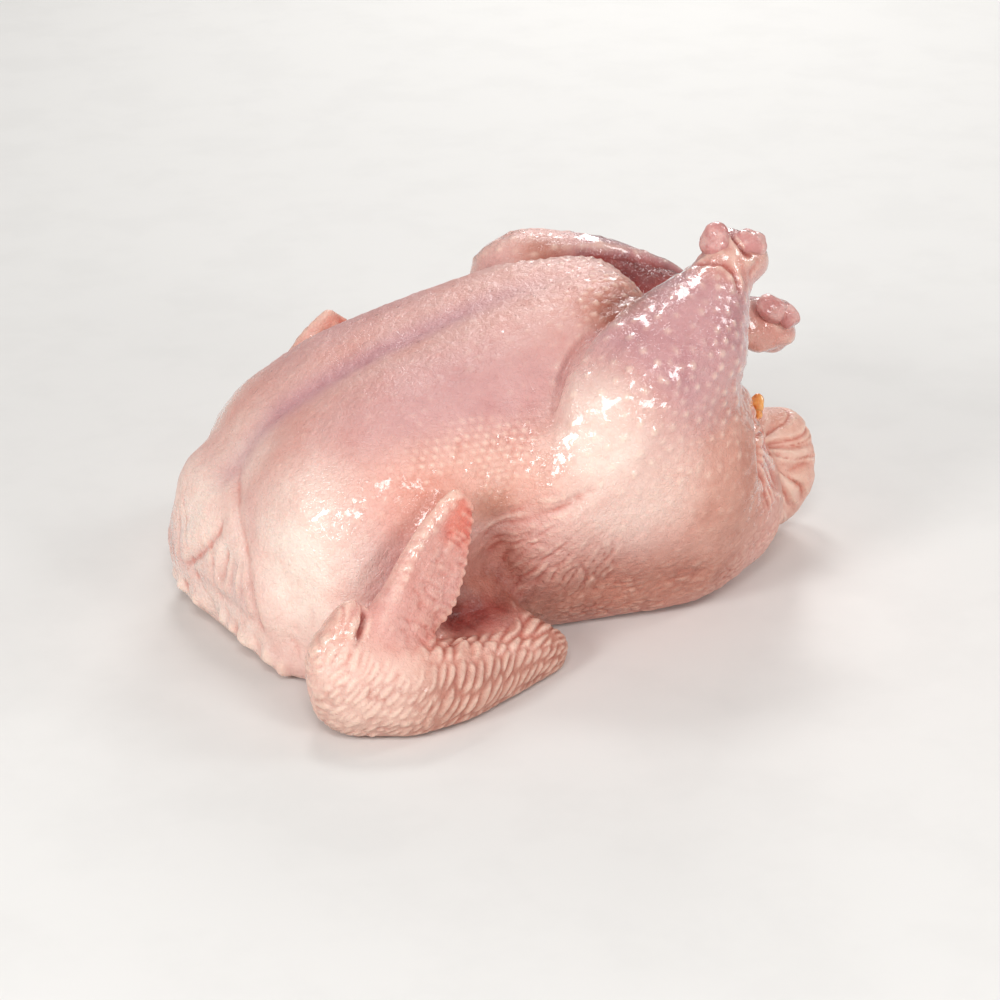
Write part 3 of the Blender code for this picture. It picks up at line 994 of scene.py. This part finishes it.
def skin_material():
    made, tree, shader = material("raw skin", tone(232, 180, 170))
    colour = use(
        tree, MOTTLE, Tone=tone(221, 171, 161), Blotch=tone(214, 154, 142), Amount=0.7, Scale=45.0
    )["Tone"]
    # The tan, meat and mauve zones also carry painted shade, as marked in paint().
    for zone, (a, b) in {
        "mauve": ((200, 148, 151), (182, 124, 131)),
        "peach": ((234, 182, 164), (224, 160, 139)),
        "tan": ((188, 122, 102), (164, 96, 78)),
        "cream": ((255, 234, 220), (248, 214, 200)),
        "flush": ((226, 130, 112), (206, 98, 84)),
        "meat": ((150, 56, 50), (112, 36, 33)),
        "stain": ((196, 128, 104), (170, 100, 76)),
    }.items():
        toned = use(tree, MOTTLE, Tone=tone(*a), Blotch=tone(*b), Amount=0.8, Scale=70.0)["Tone"]
        colour = blend(tree, mask(tree, zone), colour, toned)
    pores = use(tree, PORES, Size=1.0)
    # Painted shade: darker in the creases and hollows of the furrow zone.
    colour = blend(tree, maths(tree, "MULTIPLY", mask(tree, "furrow"), 0.62), colour, tone(214, 128, 112), "MULTIPLY")
    # Pale raised spots: the follicles' own paleness, and a painted highlight on every raised crest.
    colour = blend(tree, maths(tree, "MULTIPLY", mask(tree, "ridge"), 0.45), colour, tone(255, 228, 208))
    colour = blend(tree, maths(tree, "MULTIPLY", pores["Pit"], 0.1), colour, tone(206, 140, 122), "MULTIPLY")
    wet = maths(tree, "MULTIPLY_ADD", mask(tree, "wet"), 0.36)
    put(tree, wet.node.inputs[2], 0.32)
    film = use(tree, FILM, Scale=300.0, Wet=wet, Smooth=0.14, Dull=0.42)
    filled = maths(tree, "SUBTRACT", 1.0, maths(tree, "MULTIPLY", film["Film"], 0.1))
    height = maths(tree, "MULTIPLY", maths(tree, "SUBTRACT", pores["Height"], 0.72), filled)
    bump = add(tree, "Bump", Strength=1.0, Distance=0.0007, Height=height)
    set_plain(
        tree, shader, Base_Color=colour, Roughness=film["Roughness"], Coat_Weight=film["Film"],
        Normal=bump.outputs["Normal"],
        IOR=1.42, Specular_IOR_Level=0.7, Coat_Roughness=0.07, Coat_IOR=1.45,
        Subsurface_Weight=0.12, Subsurface_Radius=(1.0, 0.4, 0.3), Subsurface_Scale=0.002,
    )
    return made


def knuckle_material():
    made, tree, shader = material("knuckle gristle", tone(214, 156, 156))
    colour = use(tree, MOTTLE, Tone=tone(200, 138, 134), Blotch=tone(226, 182, 174), Amount=0.8, Scale=160.0)["Tone"]
    film = use(tree, FILM, Scale=300.0, Wet=0.45, Smooth=0.22, Dull=0.45)
    bump = add(tree, "Bump", Strength=0.9, Distance=0.0006, Height=use(tree, PORES, Size=1.4)["Height"])
    set_plain(
        tree, shader, Base_Color=colour, Roughness=film["Roughness"], Coat_Weight=film["Film"],
        Normal=bump.outputs["Normal"], IOR=1.42, Coat_Roughness=0.08,
        Subsurface_Weight=0.25, Subsurface_Radius=(1.0, 0.5, 0.4), Subsurface_Scale=0.002,
    )
    return made


def fat_material():
    made, tree, shader = material("vent fat", tone(232, 160, 84))
    colour = use(tree, MOTTLE, Tone=tone(236, 168, 92), Blotch=tone(214, 120, 60), Amount=0.8, Scale=300.0)["Tone"]
    film = use(tree, FILM, Scale=200.0, Wet=0.7, Smooth=0.2, Dull=0.4)
    bump = add(tree, "Bump", Strength=0.7, Distance=0.0005, Height=use(tree, PORES, Size=1.0)["Height"])
    set_plain(
        tree, shader, Base_Color=colour, Roughness=film["Roughness"], Coat_Weight=film["Film"],
        Normal=bump.outputs["Normal"], IOR=1.45, Coat_Roughness=0.1,
        Subsurface_Weight=0.3, Subsurface_Radius=(1.0, 0.6, 0.3), Subsurface_Scale=0.002,
    )
    return made


# ---------------------------------------------------------------- knuckles and fat

def lump(shape, centre, radii, turn, seed, rough=0.35):
    """Adds an uneven egg to a shape, in the bird's own millimetres; turn is its tilt about y in degrees."""
    grown = bmesh.ops.create_icosphere(shape, subdivisions=5, radius=1)["verts"]
    places = np.array([v.co for v in grown])
    bulge = 1 + 0.16 * noise(places, 0.8, seed) + 0.05 * rough * noise(places, 0.25, seed + 1)
    tilt = Euler((0, math.radians(turn), 0)).to_matrix()
    for vertex, place, size in zip(grown, places, bulge):
        vertex.co = (tilt @ Vector(place * radii * size) + Vector(centre) - Vector(OWN_ORIGIN)) * MM


def lumps_piece(name, lumps, finish):
    shape = bmesh.new()
    for seed, (centre, radii, turn) in enumerate(lumps):
        lump(shape, centre, radii, turn, 100 + 10 * seed)
    mesh = bpy.data.meshes.new(name)
    shape.to_mesh(mesh)
    shape.free()
    mesh.shade_smooth()
    mesh.materials.append(finish)
    piece = bpy.data.objects.new(name, mesh)
    bpy.context.scene.collection.objects.link(piece)
    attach(piece, "root")


# ---------------------------------------------------------------- floor, light and camera

def floor():
    mesh = bpy.data.meshes.new("floor")
    shape = bmesh.new()
    bmesh.ops.create_grid(shape, x_segments=1, y_segments=1, size=6)
    shape.to_mesh(mesh)
    shape.free()
    made = bpy.data.objects.new("floor", mesh)
    bpy.context.scene.collection.objects.link(made)
    paper, tree, shader = material("pale floor", tone(226, 224, 221))
    grain = use(tree, MOTTLE, Tone=tone(228, 226, 223), Blotch=tone(223, 221, 218), Amount=0.5, Scale=20.0)["Tone"]
    set_plain(tree, shader, Base_Color=grain, Roughness=0.7, Specular_IOR_Level=0.2)
    mesh.materials.append(paper)


def lamp(name, place, target, size, watts, colour=(1, 1, 1)):
    """A soft square lamp; places in metres."""
    light = bpy.data.lights.new(name, "AREA")
    light.shape = "SQUARE"
    light.size = size
    light.energy = watts
    light.color = colour
    made = bpy.data.objects.new(name, light)
    bpy.context.scene.collection.objects.link(made)
    made.location = place
    made.rotation_euler = (Vector(target) - Vector(place)).to_track_quat("-Z", "Y").to_euler()


def around(azimuth, height, distance):
    """A place seen from the middle of the bird: degrees from the front towards the tail, and above the ground."""
    a, h = math.radians(azimuth), math.radians(height)
    return (distance * math.cos(h) * math.sin(a), -distance * math.cos(h) * math.cos(a), distance * math.sin(h) + 0.06)


def studio():
    middle = (0, 0, 0.06)
    lamp("key", around(-62, 27, 1.5), middle, 0.4, 9.5)
    lamp("front", around(-23, 42, 1.5), middle, 0.4, 6.5)
    lamp("low front", around(22, 20, 1.5), middle, 0.35, 5.5)
    lamp("back", around(152, 27, 1.4), middle, 0.5, 6)
    lamp("high back", around(172, 60, 1.4), middle, 0.3, 4)
    lamp("rim", around(80, 35, 1.5), middle, 0.35, 4)
    world = bpy.data.worlds.new("pale room")
    world.use_nodes = True
    world.node_tree.nodes["Background"].inputs["Color"].default_value = (1, 0.99, 0.98, 1)
    world.node_tree.nodes["Background"].inputs["Strength"].default_value = 0.24
    bpy.context.scene.world = world
    bpy.context.scene.view_settings.view_transform = "Standard"


def camera():
    view = bpy.data.cameras.new("camera")
    view.lens = 101.88
    view.sensor_width = 36
    made = bpy.data.objects.new("camera", view)
    bpy.context.scene.collection.objects.link(made)
    made.location = (-0.38589, -0.93569, 0.50620)
    made.rotation_euler = Vector((0.34038, 0.83964, -0.42325)).to_track_quat("-Z", "Y").to_euler()
    bpy.context.scene.camera = made


skin = skin_piece()
skin.data.materials.append(skin_material())
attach(skin, "root")
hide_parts("chicken")
lumps_piece("knuckles", [
    ((67.0, -38.5, 144.6), (6.2, 6.0, 7.0), -20),
    ((80.4, -39.6, 142.4), (6.8, 6.0, 5.6), 16),
    ((116.0, 5.4, 94.8), (7.6, 6.2, 5.0), 30),
    ((121.0, 3.6, 91.6), (6.0, 5.6, 4.8), 60),
], knuckle_material())
lumps_piece("vent_fat", [((86.0, -41.0, 76.5), (2.6, 4.0, 3.8), 0), ((85.0, -43.0, 73.5), (1.8, 2.8, 2.8), 0)], fat_material())
floor()
studio()
camera()
